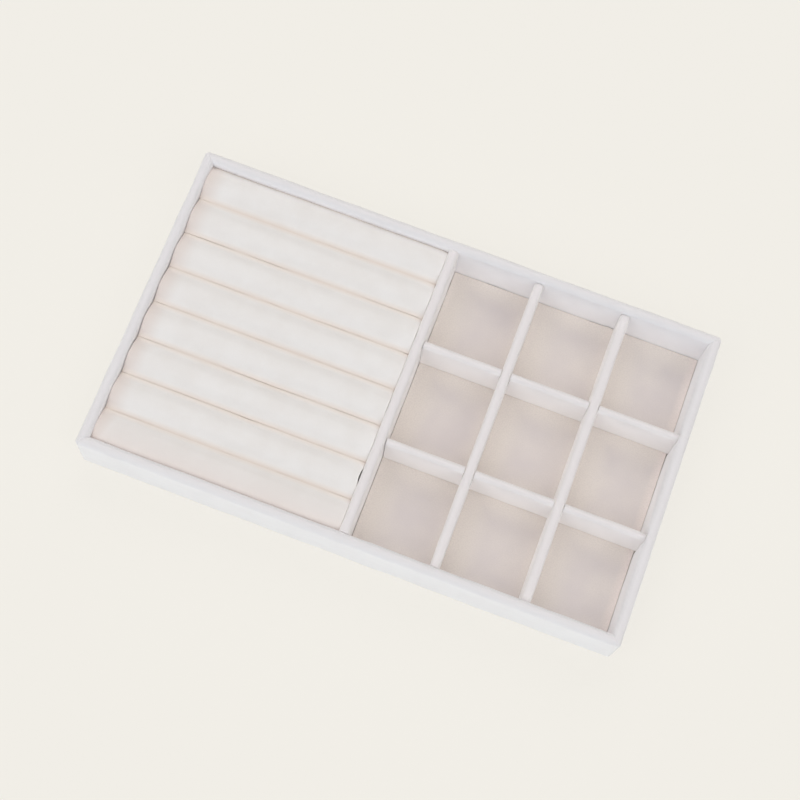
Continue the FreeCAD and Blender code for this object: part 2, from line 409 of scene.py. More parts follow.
def flecked(name, ground, fleck, fleck_size, relief, shader=MATT):
    """A matt material of one colour with soft flecks of another, raised by relief."""
    made, tree, surface, place = start_material(name, shader)
    fine = add(tree, "ShaderNodeTexNoise", {"Vector": place, "Scale": 1 / fleck_size, "Detail": 3.0})
    broad = add(tree, "ShaderNodeTexNoise",
                {"Vector": place, "Scale": MOTTLE_SCALE / fleck_size, "Detail": 2.0})
    mottle = add(tree, "ShaderNodeMath", {0: broad, 1: MOTTLE_SHARE, 2: fine}, operation="MULTIPLY_ADD")
    amount = add(tree, "ShaderNodeMapRange",
                 {"Value": mottle, "From Min": FLECKS_START, "From Max": FLECKS_FULL})
    tone = add(tree, "ShaderNodeMix", {SHARE: amount, FIRST: linear(ground), SECOND: linear(fleck)},
               data_type="RGBA")
    tree.links.new(tone.outputs[MIXED], surface.inputs["Base Color"])
    grain = add(tree, "ShaderNodeBump", {"Height": fine, "Strength": BUMP, "Distance": relief})
    tree.links.new(grain.outputs[0], surface.inputs["Normal"])
    return made


felt = flecked("pale_felt", "DDD5CC", "CDC4BA", 0.8 * MM, FELT_RELIEF, MATT | FELT_SHEEN)
fibreboard = flecked("mdf_fibreboard", "B89C79", "A48863", 0.5 * MM, BOARD_RELIEF)
greyboard = flecked("grey_card", "A8A196", "8F877B", 0.6 * MM, BOARD_RELIEF)
lined_board = flecked("paper_lined_board", "E9E3DA", "DDD5CA", 0.6 * MM, BOARD_RELIEF)
kept_materials = {"board": fibreboard, "card": greyboard}
for name, node in frame["nodes"].items():
    finish = lined_board if name == "base_board" else kept_materials.get(name.rsplit("_", 1)[-1])
    if finish:
        node.data.materials.clear()
        node.data.materials.append(finish)
        print("kept from CAD:", name, "in", finish.name)

# %% [markdown]
# ## Flock for the compartments
# The floor of the compartments is a beige flock, a nap so short that it looks like suede. Its colour
# carries painted shade: the middle of each compartment is a little cooler and darker, more so to the right
# and front, and it stays light along the dividers. A strip along the right wall has a painted highlight.
# The dividers stand at even steps, so a distance that goes to and fro between them draws that middle in
# all nine, and a broad noise makes it uneven.

# %% Mix the flock
long_dividers = "left_divider", "right_divider"
cross_dividers = "front_cross_divider", "back_cross_divider"
# The flock's own colour, painted shade for the middle of a compartment, flecks, and a painted highlight
FLOCK_LIGHT, FLOCK_PAINTED_SHADE, FLOCK_FLECK, FLOCK_HIGHLIGHT = "F4ECE5", "E2DADA", "DFD7D3", "F7ECE7"
FLOCK_SHEEN = {"Sheen Weight": 0.15, "Sheen Roughness": 0.6}
NAP = 0.7 * MM  # drawn coarser than the real nap, which is about 0.1 mm
NAP_HEIGHT = 0.05 * MM
NAP_LOW, NAP_HIGH, NAP_SHARE = 0.3, 0.8, 0.6  # noise values between which flecks come in, and their share
# The painted shade in the middle of each compartment: size of its patches, noise values, reach and shift
SHADE_PATCH = 22.0 * MM
SHADE_LOW, SHADE_HIGH, SHADE_LEAST = 0.3, 0.7, 0.4  # the same for the painted shade, and its least share
SHADED_FROM, SHADED_TO = 3.0 * MM, 16.0 * MM  # distance from a divider's middle
SHADE_SHIFT = Vector((6.0, -1.5, 0.0)) * MM
HIGHLIGHT_WIDTH = 4.5 * MM  # width of the painted highlight along the right wall


def beige_flock():
    """Flock with painted shade in the middle of each compartment and a painted highlight along the right
    wall.
    """
    made, tree, surface, place = start_material("beige_flock_suede", MATT | FLOCK_SHEEN)
    middles = {name: sum(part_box(f"{name}_velvet"), Vector()) / 2 for name in long_dividers + cross_dividers}
    step_x = middles["right_divider"].x - middles["left_divider"].x
    step_y = middles["back_cross_divider"].y - middles["front_cross_divider"].y
    crossing = Vector((middles["left_divider"].x, middles["front_cross_divider"].y, 0)) + SHADE_SHIFT
    moved = add(tree, "ShaderNodeVectorMath", {0: place, 1: crossing}, operation="SUBTRACT")
    x, y, _ = add(tree, "ShaderNodeSeparateXYZ", {0: moved}).outputs
    from_x = add(tree, "ShaderNodeMath", {0: x, 1: step_x / 2}, operation="PINGPONG")
    from_y = add(tree, "ShaderNodeMath", {0: y, 1: step_y / 2}, operation="PINGPONG")
    nearest = add(tree, "ShaderNodeMath", {0: from_x, 1: from_y}, operation="MINIMUM")
    # Painted shade in the middle of each compartment, made uneven by broad noise
    middle = add(tree, "ShaderNodeMapRange",
                 {"Value": nearest, "From Min": SHADED_FROM, "From Max": SHADED_TO},
                 interpolation_type="SMOOTHSTEP")
    patches = add(tree, "ShaderNodeTexNoise", {"Vector": place, "Scale": 1 / SHADE_PATCH, "Detail": 2.0})
    uneven = add(tree, "ShaderNodeMapRange",
                 {"Value": patches, "From Min": SHADE_LOW, "From Max": SHADE_HIGH, "To Min": SHADE_LEAST})
    painted_middle_shade = add(tree, "ShaderNodeMath", {0: middle, 1: uneven}, operation="MULTIPLY")
    tone = add(tree, "ShaderNodeMix",
               {SHARE: painted_middle_shade, FIRST: linear(FLOCK_LIGHT), SECOND: linear(FLOCK_PAINTED_SHADE)},
               data_type="RGBA").outputs[MIXED]
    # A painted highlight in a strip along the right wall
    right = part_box("floor_liner_velvet")[1].x - crossing.x
    at_right = add(tree, "ShaderNodeMapRange", {"Value": x, "From Min": right - HIGHLIGHT_WIDTH, "From Max": right})
    with_painted_edge = add(tree, "ShaderNodeMix", {SHARE: at_right, FIRST: tone, SECOND: linear(FLOCK_HIGHLIGHT)},
                data_type="RGBA").outputs[MIXED]
    nap = add(tree, "ShaderNodeTexNoise", {"Vector": place, "Scale": 1 / NAP, "Detail": 3.0})
    fleck = add(tree, "ShaderNodeMapRange",
                {"Value": nap, "From Min": NAP_LOW, "From Max": NAP_HIGH, "To Max": NAP_SHARE})
    dotted = add(tree, "ShaderNodeMix", {SHARE: fleck, FIRST: with_painted_edge, SECOND: linear(FLOCK_FLECK)},
                 data_type="RGBA")
    tree.links.new(dotted.outputs[MIXED], surface.inputs["Base Color"])
    grain = add(tree, "ShaderNodeBump", {"Height": nap, "Strength": BUMP, "Distance": NAP_HEIGHT})
    tree.links.new(grain.outputs[0], surface.inputs["Normal"])
    print(made.name, f"rubbed every {step_x / MM:.1f} x {step_y / MM:.1f} mm")
    return made


suede = beige_flock()

# %% [markdown]
# ## The velvet on the four walls
# Each wall is a board with padded velvet drawn over its rim, from the bottom outside to the floor inside,
# and mitred where two walls meet. It is one section, a tall arch, carried along the wall, so a grid of
# points does it: the outer skin follows the arch, and the inner skin lies on the board.

# %% Read the wall's sizes and draw its section
wall_low, wall_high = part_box("front_wall_velvet")
board_low, board_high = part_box("front_wall_board")
wall = wall_high.y - wall_low.y
wall_board = board_high.y - board_low.y
base_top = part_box("base_board")[1].z
CORNER = 2.0 * MM  # rounding of the tray's upright corners
FOOT_ROUND = 0.8 * MM
RIM_ROUND = 2.7 * MM
LEG_STEPS, RIM_STEPS, FOOT_STEPS = 14, 24, 4


def rim_section():
    """Points across and up, and the outward direction at each, from the outer foot to the inner foot."""
    half, spring, flat = wall / 2, tray_height - RIM_ROUND, wall / 2 - RIM_ROUND
    rows = []
    for k in range(FOOT_STEPS):
        t = math.pi / 2 * k / FOOT_STEPS
        out, up = -math.sin(t), -math.cos(t)
        rows.append((FOOT_ROUND * (1 + out) - half, FOOT_ROUND * (1 + up), out, up))
    rows += [(-half, z, -1, 0) for z in np.linspace(FOOT_ROUND, spring, LEG_STEPS, endpoint=False)]
    for t in np.linspace(0, math.pi, RIM_STEPS):
        out, up = -math.cos(t), math.sin(t)
        rows.append((math.copysign(flat, out) + RIM_ROUND * out, spring + RIM_ROUND * up, out, up))
    rows += [(half, z, 1, 0) for z in np.linspace(spring, base_top, LEG_STEPS)[1:]]
    return np.array(rows)


section = rim_section()
print(f"wall {wall / MM:.1f} mm thick over a {wall_board / MM:.1f} mm board,",
      len(section), "points in its section")

# %% [markdown]
# ### From a section to four mitred walls
# A wall's plan ends on a 45 degree mitre with a rounded outer corner. Lines of the cloth outside the
# corner's pivot turn round it, and lines inside it run straight to the mitre. The noise that moves the
# points is a fixed function of place, so every run gives the same cloth.

# %% Lay out the lines of the cloth
SOFT_WAVE, SOFT_DEPTH = 22.0 * MM, 0.26 * MM
PUCKER_WAVE, PUCKER_DEPTH = 5.0 * MM, 0.09 * MM


def plan(across, station, run):
    """Where a line of the cloth lies: station is -1 to 1 between inside corners, and up to 2 at a mitre."""
    straight = run / 2 - wall
    side, beyond = math.copysign(1, station), abs(station) - 1
    if beyond <= 0:
        return station * straight, across
    pivot = CORNER - wall / 2
    radius = pivot - across
    if radius <= 0:
        return side * (straight + beyond * (wall / 2 - across)), across
    level_part = wall - CORNER
    path = beyond * (level_part + radius * math.pi / 4)
    if path <= level_part:
        return side * (straight + path), across
    turn = (path - level_part) / radius
    return side * (straight + level_part + radius * math.sin(turn)), pivot - radius * math.cos(turn)


def softness(point, seed):
    """How far the cloth stands off or sinks at a point, in metres."""
    broad = noise.noise(point / SOFT_WAVE + Vector((seed, 0, 0)))
    small = noise.noise(point / PUCKER_WAVE + Vector((0, seed, 0)))
    return SOFT_DEPTH * broad + PUCKER_DEPTH * small


corner_tip = plan(-wall / 2, 2, tray_length)
print("outer line of a long wall ends at", [round(v / MM, 2) for v in corner_tip], "mm from its middle")

# %% [markdown]
# ### Closed skins
# A cover is made as two skins, outside and inside, joined round their borders, because only a closed mesh
# has a clear inside. Points that coincide are merged, faces are turned outwards, and edges that are
# sharper than a crease stay sharp. A finished piece then gets the body that it moves with.

# %% Helpers for closed skins
MERGE, SLIVER = 0.002 * MM, 0.001 * MM  # below these, points are merged and slim faces removed
CREASE = 50  # degrees between two faces, above which their edge is not shaded smooth


def finish_surface(piece):
    """Merges doubles, turns faces outward and shades smooth but for creases."""
    work = bmesh.new()
    work.from_mesh(piece.data)
    bmesh.ops.remove_doubles(work, verts=work.verts, dist=MERGE)
    bmesh.ops.dissolve_degenerate(work, edges=work.edges, dist=SLIVER)
    bmesh.ops.recalc_face_normals(work, faces=work.faces)
    work.to_mesh(piece.data)
    work.free()
    piece.data.shade_smooth()
    piece.data.set_sharp_from_angle(angle=math.radians(CREASE))


def shell(name, outside, inside, material):
    """A closed skin from two grids of points, joined round their borders."""
    rows, columns = outside.shape[:2]
    count = rows * columns
    top = np.arange(count).reshape(rows, columns)
    faces = []
    for r in range(rows - 1):
        for c in range(columns - 1):
            quad = (top[r, c], top[r, c + 1], top[r + 1, c + 1], top[r + 1, c])
            faces += [quad, tuple(k + count for k in reversed(quad))]
    border = [*top[0], *top[1:, -1], *top[-1, -2::-1], *top[-2:0:-1, 0]]
    for a, b in zip(border, border[1:] + border[:1]):
        faces.append((b, a, a + count, b + count))
    mesh = bpy.data.meshes.new(name)
    mesh.from_pydata(np.concatenate([outside.reshape(-1, 3), inside.reshape(-1, 3)]).tolist(), [],
                     [tuple(int(k) for k in face) for face in faces])
    mesh.materials.append(material)
    piece = placed(name, mesh)
    finish_surface(piece)
    return piece


def dress(piece, body, slot, *nodes):
    """The piece moves with a body and stands for CAD nodes. Its slot is not used."""
    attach(piece, body)
    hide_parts(*nodes)
    low, high = (np.array(piece.bound_box)[k] / MM for k in (0, 6))
    print(piece.name, len(piece.data.polygons), "faces, mm", low.round(2), "to", high.round(2))


# %% [markdown]
# ### Covering the walls
# The section is now carried along each wall. Its points give a little, as cloth does, and dip beside the
# mitre, where the two edges are turned in and glued. The padding of the right wall also has a dent for
# each cross divider, whose end presses into it.

# %% Carry the section along each wall
WALL_STEP = 1.25 * MM
CORNER_STEPS = 12
MITRE_DIP, MITRE_REACH = 0.25 * MM, 0.8 * MM
INSIDE_GIVE = 0.03 * MM  # the inner face stands no further out, so that what lifts out stays clear
DENT_DEPTH, DENT_EDGE = 1.2 * MM, 1.2 * MM
DENT_FOCUS = 8  # a power that keeps a dent to the inner face, and off the round of the rim
WALL_SEED = 17.3  # sets the noise of one wall apart from the next


def dent(along, dents):
    """How deep a divider's end has pressed the inner face in, at a place along the wall."""
    depth = 0.0
    for middle, width in dents:
        beside = max(0.0, abs(along - middle) - width / 2) / DENT_EDGE
        depth = max(depth, DENT_DEPTH * (1 - beside) ** 2 if beside < 1 else 0.0)
    return depth


def wall_cover(name, turn, run, across_tray, seed, dents):
    """The cover of one wall, made as the front one and turned about the middle of the tray."""
    along = np.linspace(-1, 1, round((run - 2 * wall) / WALL_STEP))
    corner = 1 + np.linspace(0, 1, CORNER_STEPS + 1)[1:]
    stations = [*-corner[::-1], *along, *corner]
    spin = Quaternion((0, 0, 1), math.radians(turn))
    middle = wall / 2 - across_tray / 2
    outside = np.zeros((len(stations), len(section), 3))
    inside = np.zeros_like(outside)
    for r, station in enumerate(stations):
        from_mitre = (2 - abs(station)) * wall if abs(station) > 1 else wall
        dip = MITRE_DIP * math.exp(-((from_mitre / MITRE_REACH) ** 2))
        for c, (across, up, out, lift) in enumerate(section):
            x, y = plan(across, station, run)
            give = softness(Vector((x, across, up)), seed) - dip
            if across >= wall / 2:
                give = min(give, INSIDE_GIVE)
            give -= dent(x, dents) * max(0, out) ** DENT_FOCUS
            x, y = plan(across + out * give, station, run)
            outside[r, c] = spin @ Vector((x, y + middle, max(0, up + lift * give)))
            board = max(-wall_board / 2, min(wall_board / 2, across))
            x, y = plan(board, station, run)
            inside[r, c] = spin @ Vector((x, y + middle, min(up, board_high.z)))
    return shell(f"{name}_cover", outside, inside, wall_velvet)


walls = (
    ("front_wall", 0, tray_length, tray_depth),
    ("right_wall", 90, tray_depth, tray_length),
    ("back_wall", 180, tray_length, tray_depth),
    ("left_wall", 270, tray_depth, tray_length),
)
cross_boxes = [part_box(f"{name}_velvet") for name in cross_dividers]
right_dents = [((low.y + high.y) / 2, high.y - low.y) for low, high in cross_boxes]
for seed, (name, turn, run, across_tray) in enumerate(walls):
    dents = right_dents if name == "right_wall" else ()
    cover = wall_cover(name, turn, run, across_tray, seed * WALL_SEED, dents)
    dress(cover, "tray", "velvet", f"{name}_velvet")

# %% [markdown]
# ## The liner of the compartments
# A card faced with beige flock lies on the base and stops just short of the walls, so a thin dark line
# runs round it. It was cut by hand: its edge stands up a hair, and more in one small place at the back. A
# fine grid, moved by a few formulas, holds all of that.

# %% Lay the liner
LINER_STEP = 1.6 * MM
LINER_SPREAD = 0.55 * MM  # the flock turns over the card's edge, and nearly meets the walls
EDGE_LIFT, LIFT_REACH = 0.35 * MM, 1.6 * MM
LIFTED_AT, LIFTED_REACH, LIFTED_HEIGHT = 91.5 * MM, 3.0 * MM, 0.9 * MM  # the place at the back
SAG_WAVE, SAG_DEPTH = 30.0 * MM, 0.08 * MM


def spaced(low, high, step):
    """Even places from low to high, about a step apart."""
    return np.linspace(low, high, round((high - low) / step))


def liner():
    """The flock as a grid that is lifted along its edge and sags a little in between."""
    spread = Vector((LINER_SPREAD, LINER_SPREAD, 0))
    low, high = (corner + side * spread for side, corner in zip((-1, 1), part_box("floor_liner_velvet")))
    xs, ys = spaced(low.x, high.x, LINER_STEP), spaced(low.y, high.y, LINER_STEP)
    outside = np.zeros((len(xs), len(ys), 3))
    inside = np.zeros_like(outside)
    for r, x in enumerate(xs):
        for c, y in enumerate(ys):
            to_edge = min(high.x - x, high.y - y, y - low.y, x - low.x)
            lift = EDGE_LIFT * math.exp(-((to_edge / LIFT_REACH) ** 2))
            flap = math.exp(-(((x - LIFTED_AT) ** 2 + (high.y - y) ** 2) / LIFTED_REACH ** 2))
            lift += LIFTED_HEIGHT * flap + SAG_DEPTH * noise.noise(Vector((x, y, 0)) / SAG_WAVE)
            outside[r, c] = x, y, high.z + lift
            inside[r, c] = x, y, low.z + max(0, lift)
    return shell("floor_liner_flock", outside, inside, suede)


flock = liner()
dress(flock, "tray", "liner_suede", "floor_liner_velvet")

# %% [markdown]
# ## Bars with a round crown
# The dividers and the ring rolls are the same kind of shape: a long bar with a flat foot, straight sides
# and a round crown, drawn in a little at both ends. One Geometry Nodes tree makes them all. It carries a
# rounded rectangle along a line, bunches the stations towards the ends, draws the ends in along a quarter
# ellipse, and ruffles the surface with noise. Its inputs are the sizes that differ.

# %% Build the tree for a crowned bar
BAR_SIZES = ("Length", "Width", "Height", "Crown Radius", "Foot Radius", "End Length", "End Draw", "Spacing",
             "Wave Size", "Wave Depth", "Seed")
FILLET_POINTS = 16  # in each rounded corner of the section


def crowned_bar():
    tree = bpy.data.node_groups.new("crowned_bar", "GeometryNodeTree")
    for name in BAR_SIZES:
        tree.interface.new_socket(name, in_out="INPUT", socket_type="NodeSocketFloat")
    tree.interface.new_socket("Material", in_out="INPUT", socket_type="NodeSocketMaterial")
    tree.interface.new_socket("Bar", in_out="OUTPUT", socket_type="NodeSocketGeometry")
    size = add(tree, "NodeGroupInput").outputs
    place = add(tree, "GeometryNodeInputPosition")

    # A profile's Y turns to -Z on a line along X, so the crown is at the profile's lower side.
    outline = add(tree, "GeometryNodeCurvePrimitiveQuadrilateral",
                  {"Width": size["Width"], "Height": size["Height"]})
    corner = add(tree, "ShaderNodeSeparateXYZ", {0: place})
    at_crown = add(tree, "FunctionNodeCompare", {0: corner.outputs["Y"], 1: 0.0}, operation="LESS_THAN")
    radius = add(tree, "GeometryNodeSwitch", {0: at_crown, 1: size["Foot Radius"], 2: size["Crown Radius"]},
                 input_type="FLOAT")
    rounded = add(tree, "GeometryNodeFilletCurve",
                  {"Curve": outline, "Count": FILLET_POINTS, "Radius": radius}, mode="POLY")
    even = add(tree, "GeometryNodeResampleCurve", {"Curve": rounded, "Length": size["Spacing"]},
               mode="LENGTH")
    count = add(tree, "ShaderNodeMath", {0: size["Length"], 1: size["Spacing"]}, operation="DIVIDE")
    way = add(tree, "GeometryNodeCurvePrimitiveLine", {"Start": (-1, 0, 0), "End": (1, 0, 0)})
    stations = add(tree, "GeometryNodeResampleCurve", {"Curve": way, "Count": count})
    bar = add(tree, "GeometryNodeCurveToMesh", {"Curve": stations, "Profile Curve": even, "Fill Caps": True})

    # Stations run from -1 to 1. A sine spreads them over the length and bunches them at the ends.
    along, across, up = add(tree, "ShaderNodeSeparateXYZ", {0: place}).outputs
    half = add(tree, "ShaderNodeMath", {0: size["Length"], 1: 0.5}, operation="MULTIPLY")
    angle = add(tree, "ShaderNodeMath", {0: along, 1: math.pi / 2}, operation="MULTIPLY")
    bunched = add(tree, "ShaderNodeMath", {0: angle}, operation="SINE")
    x = add(tree, "ShaderNodeMath", {0: bunched, 1: half}, operation="MULTIPLY")
    from_middle = add(tree, "ShaderNodeMath", {0: x}, operation="ABSOLUTE")
    from_end = add(tree, "ShaderNodeMath", {0: half, 1: from_middle}, operation="SUBTRACT")

    # The ends are drawn in along a quarter ellipse: nothing at its start, the whole draw at the very end.
    share = add(tree, "ShaderNodeMapRange",
                {"Value": from_end, "From Max": size["End Length"], "To Min": 1.0, "To Max": 0.0})
    squared = add(tree, "ShaderNodeMath", {0: share, 1: share}, operation="MULTIPLY")
    remaining = add(tree, "ShaderNodeMath", {0: 1.0, 1: squared}, operation="SUBTRACT")
    ellipse = add(tree, "ShaderNodeMath", {0: remaining}, operation="SQRT")
    drawn = add(tree, "ShaderNodeMapRange", {"Value": ellipse, "To Min": size["End Draw"], "To Max": 0.0})
    width_left = add(tree, "ShaderNodeMath", {0: drawn, 1: -2.0, 2: size["Width"]}, operation="MULTIPLY_ADD")
    narrowing = add(tree, "ShaderNodeMath", {0: width_left, 1: size["Width"]}, operation="DIVIDE")
    y = add(tree, "ShaderNodeMath", {0: across, 1: narrowing}, operation="MULTIPLY")
    height_left = add(tree, "ShaderNodeMath", {0: size["Height"], 1: drawn}, operation="SUBTRACT")
    lowering = add(tree, "ShaderNodeMath", {0: height_left, 1: size["Height"]}, operation="DIVIDE")
    from_foot = add(tree, "ShaderNodeMath", {0: size["Height"], 1: 0.5, 2: up}, operation="MULTIPLY_ADD")
    z = add(tree, "ShaderNodeMath", {0: from_foot, 1: lowering}, operation="MULTIPLY")
    shaped = add(tree, "ShaderNodeCombineXYZ", {"X": x, "Y": y, "Z": z})
    drawn_in = add(tree, "GeometryNodeSetPosition", {"Geometry": bar, "Position": shaped})

    fineness = add(tree, "ShaderNodeMath", {0: 1.0, 1: size["Wave Size"]}, operation="DIVIDE")
    waves = add(tree, "ShaderNodeTexNoise",
                {"Vector": place, "W": size["Seed"], "Scale": fineness, "Detail": 2.0}, noise_dimensions="4D")
    wave = add(tree, "ShaderNodeMath", {0: waves, 1: 0.5}, operation="SUBTRACT")
    sway = add(tree, "ShaderNodeMath", {0: wave, 1: size["Wave Depth"]}, operation="MULTIPLY")
    outward = add(tree, "GeometryNodeInputNormal")
    offset = add(tree, "ShaderNodeVectorMath", {0: outward, "Scale": sway}, operation="SCALE")
    ruffled = add(tree, "GeometryNodeSetPosition", {"Geometry": drawn_in, "Offset": offset})
    whole = add(tree, "GeometryNodeRealizeInstances", {"Geometry": ruffled})
    dyed = add(tree, "GeometryNodeSetMaterial", {"Geometry": whole, "Material": size["Material"]})
    add(tree, "NodeGroupOutput", {"Bar": dyed})
    return tree


bar_tree = crowned_bar()
print(bar_tree.name, len(bar_tree.nodes), "nodes")

# %% [markdown]
# ### Using the tree
# A modifier's inputs are set by their identifiers, before the object is first evaluated. The result is
# turned into a plain mesh at once, and moved to its place in the mesh itself, so the finished piece sits
# at the origin like every CAD node.

# %% Make a mesh with the tree
def bar_mesh(name, place, turn, material, **sizes):
    """A crowned bar as a plain mesh, its foot's middle at place and its length turned from X."""
    maker = placed(f"{name}_maker", bpy.data.meshes.new(f"{name}_maker"))
    modifier = maker.modifiers.new("bar", "NODES")
    modifier.node_group = bar_tree
    values = {key.replace("_", " "): float(value) for key, value in sizes.items()} | {"Material": material}
    for socket in bar_tree.interface.items_tree:
        if socket.in_out == "INPUT":
            modifier[socket.identifier] = values[socket.name]
    graph = bpy.context.evaluated_depsgraph_get()
    mesh = bpy.data.meshes.new_from_object(maker.evaluated_get(graph))
    bpy.data.objects.remove(maker)
    mesh.name = name
    mesh.transform(Quaternion((0, 0, 1), math.radians(turn)).to_matrix().to_4x4())
    mesh.transform(Matrix.Translation(place))
    print(name, "starts as a bar of", len(mesh.vertices), "points")
    return mesh


# %% [markdown]
# ## The dividers
# A divider is a thin board in a velvet cover. The main one stands between the rolls and the compartments.
# The others cross in half-lap slots: the long ones are slotted from below and run unbroken over the short
# ones, which are slotted from above. The cover is a crowned bar, and Boolean cuts take out the room for
# the board and the slots, because both are plain boxes.

# %% Helpers for cuts
def applied(piece):
    """Replaces a piece's mesh by the one that its modifiers make, and removes them."""
    graph = bpy.context.evaluated_depsgraph_get()
    piece.data = bpy.data.meshes.new_from_object(piece.evaluated_get(graph))
    piece.data.name = piece.name
    piece.modifiers.clear()


def cut_box(piece, low, high):
    """Takes a box out of a piece with a Boolean modifier, which is then applied."""
    cutter = bmesh.new()
    bmesh.ops.create_cube(cutter, size=1.0)
    mesh = bpy.data.meshes.new("cutter")
    for corner in cutter.verts:
        corner.co = [(lo + hi) / 2 + s * (hi - lo) for s, lo, hi in zip(corner.co, low, high)]
    cutter.to_mesh(mesh)
    cutter.free()
    tool = placed("cutter", mesh)
    modifier = piece.modifiers.new("cut", "BOOLEAN")
    modifier.operation = "DIFFERENCE"
    modifier.solver = "EXACT"
    modifier.object = tool
    applied(piece)
    bpy.data.objects.remove(tool)
    print(piece.name, "cut,", len(piece.data.polygons), "faces")


# %% [markdown]
# ### Covering the dividers
# A cover ends a hair above the floor, which gives the fine dark line at its foot. The cross dividers look
# slimmer than the long ones, so their covers are drawn tighter over the back, and their right ends press
# into the padding of the wall.

# %% Cover the dividers
FOOT_GAP = 0.2 * MM
END_PRESS = 0.27 * MM  # how far a cover's ends reach beyond its solid, up to the walls
RIGHT_PRESS = 1.4 * MM  # the cross dividers sit to the right, and press into the right wall
LOOSE_ENDS = {"front_cross_divider": (0.0, RIGHT_PRESS), "back_cross_divider": (END_PRESS, RIGHT_PRESS)}
TIGHT_BACK = 1.1 * MM  # the covers of the cross dividers are drawn tighter over the back of the board
CROWN_ROUND = 2.2 * MM
DIVIDER_SPACING = 0.9 * MM
DIVIDER_FOOT = 0.3 * MM  # rounding at the foot
DIVIDER_END, DIVIDER_DRAW = 0.6 * MM, 0.2 * MM
DIVIDER_WAVE, DIVIDER_DEPTH = 16.0 * MM, 0.55 * MM
LAP_CLEARANCE = 0.1 * MM
DIVIDER_SEED = 3.7  # sets the noise of one divider apart from the next


def divider_cover(name, turn, seed, slots):
    """A crowned bar with the room for its board and for its slots cut out."""
    low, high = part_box(f"{name}_velvet")
    core_low, core_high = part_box(f"{name}_board")
    middle = (low + high) / 2
    size = high - low
    tight = TIGHT_BACK if turn == 0 else 0.0
    length, width = (size.x, size.y - tight) if turn == 0 else (size.y, size.x)
    start, end = LOOSE_ENDS.get(name, (END_PRESS, END_PRESS))
    length += start + end
    foot = Vector((middle.x + (end - start) / 2, middle.y - tight / 2, low.z + FOOT_GAP))
    mesh = bar_mesh(f"{name}_cover", foot, turn, divider_velvet,
                    Length=length, Width=width, Height=size.z - FOOT_GAP, Crown_Radius=CROWN_ROUND,
                    Foot_Radius=DIVIDER_FOOT, End_Length=DIVIDER_END, End_Draw=DIVIDER_DRAW,
                    Spacing=DIVIDER_SPACING, Wave_Size=DIVIDER_WAVE, Wave_Depth=DIVIDER_DEPTH, Seed=seed)
    cover = placed(f"{name}_cover", mesh)
    finish_surface(cover)
    spare = Vector((0, 0, wall))  # the room for the board is open below
    cut_box(cover, core_low - spare, core_high)
    for slot_low, slot_high in slots:
        cut_box(cover, slot_low, slot_high)
    finish_surface(cover)
    return cover


def crossing_slots(name, others, turn):
    """The boxes that a divider's slots take: below the laps for a long divider, above for a cross one."""
    low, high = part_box(f"{name}_velvet")
    lap = (low.z + high.z) / 2
    boxes = []
    for other in others:
        a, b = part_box(f"{other}_velvet")
        gap = Vector((LAP_CLEARANCE, LAP_CLEARANCE, 0))
        bottom, top = (low.z - wall, lap + LAP_CLEARANCE) if turn else (lap, high.z + wall)
        near = Vector((low.x - wall, a.y, bottom)) if turn else Vector((a.x, low.y - wall, bottom))
        far = Vector((high.x + wall, b.y, top)) if turn else Vector((b.x, high.y + wall, top))
        boxes.append((near - gap, far + gap))
    return boxes


plans = [("main_divider", 90, (), "main_divider")]
plans += [(name, 90, cross_dividers, name) for name in long_dividers]
plans += [(name, 0, long_dividers, "cross_dividers") for name in cross_dividers]
for seed, (name, turn, others, body) in enumerate(plans):
    cover = divider_cover(name, turn, seed * DIVIDER_SEED, crossing_slots(name, others, turn))
    dress(cover, body, "velvet", f"{name}_velvet")
    length, width = sorted(cover.dimensions.xy, reverse=True)

# %% [markdown]
# ## The ring rolls
# Each roll is a foam core in a velvet sleeve, firm and a little fuller in the middle than at its ends.
# Rings are pushed into the grooves between them. The rolls are first made loose: each is a bar that is
# wider and longer than the room that its neighbours, the walls and the card leave it, remeshed evenly.

# %% Make the loose rolls
ROLL_COUNT = 8
ROLL_SLIM = 0.3 * MM  # how much lower than its room each roll starts
ROLL_SQUEEZE = 2.6 * MM  # how much wider than its room each side of a roll is before it is pressed in
ROLL_LONG = 3.0 * MM  # and how much longer each end is
ROLL_CLEAR = 0.03 * MM  # between the rolls and the walls or the divider
SEAM = 0.09 * MM  # between two rolls
BOWED_GAP = 0.35 * MM  # the middle rolls stop this far short of the left wall
END_LEAN = 0.7 * MM  # the first and last roll are pushed towards their wall
ROLL_MESH = 1.5 * MM
ROLL_FOOT = 1.5 * MM  # rounding at the foot
CROWN_SPARE = 0.01 * MM  # the two rounds of the crown stop just short of each other
ROLL_END, ROLL_DRAW = 8.0 * MM, 1.3 * MM
ROLL_WAVE, ROLL_DEPTH = 26.0 * MM, 0.5 * MM
ROLL_SEED = 5.1  # sets the noise of one roll apart from the next


def room_of(number):
    """The box that the neighbours, the walls, the main divider and the card leave a roll."""
    low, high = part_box(f"ring_roll_{number}_velvet")
    back_face, left_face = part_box("back_wall_velvet")[0].y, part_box("left_wall_velvet")[1].x
    neighbours = [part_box(f"ring_roll_{k}_velvet") for k in (number - 1, number + 1) if 1 <= k <= ROLL_COUNT]
    front, back = ROLL_CLEAR - back_face, back_face - ROLL_CLEAR  # the front wall mirrors the back one
    if number > 1:
        front = seam_place((neighbours[0][1].y + low.y) / 2) + SEAM / 2
    if number < ROLL_COUNT:
        back = seam_place((neighbours[-1][0].y + high.y) / 2) - SEAM / 2
    from_middle = (2 * number - 1 - ROLL_COUNT) / (ROLL_COUNT - 1)  # -1 for the first roll, 1 for the last
    left = left_face + ROLL_CLEAR + BOWED_GAP * (1 - from_middle ** 2)
    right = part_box("main_divider_velvet")[0].x - ROLL_CLEAR
    return Vector((left, front, low.z)), Vector((right, back, high.z))


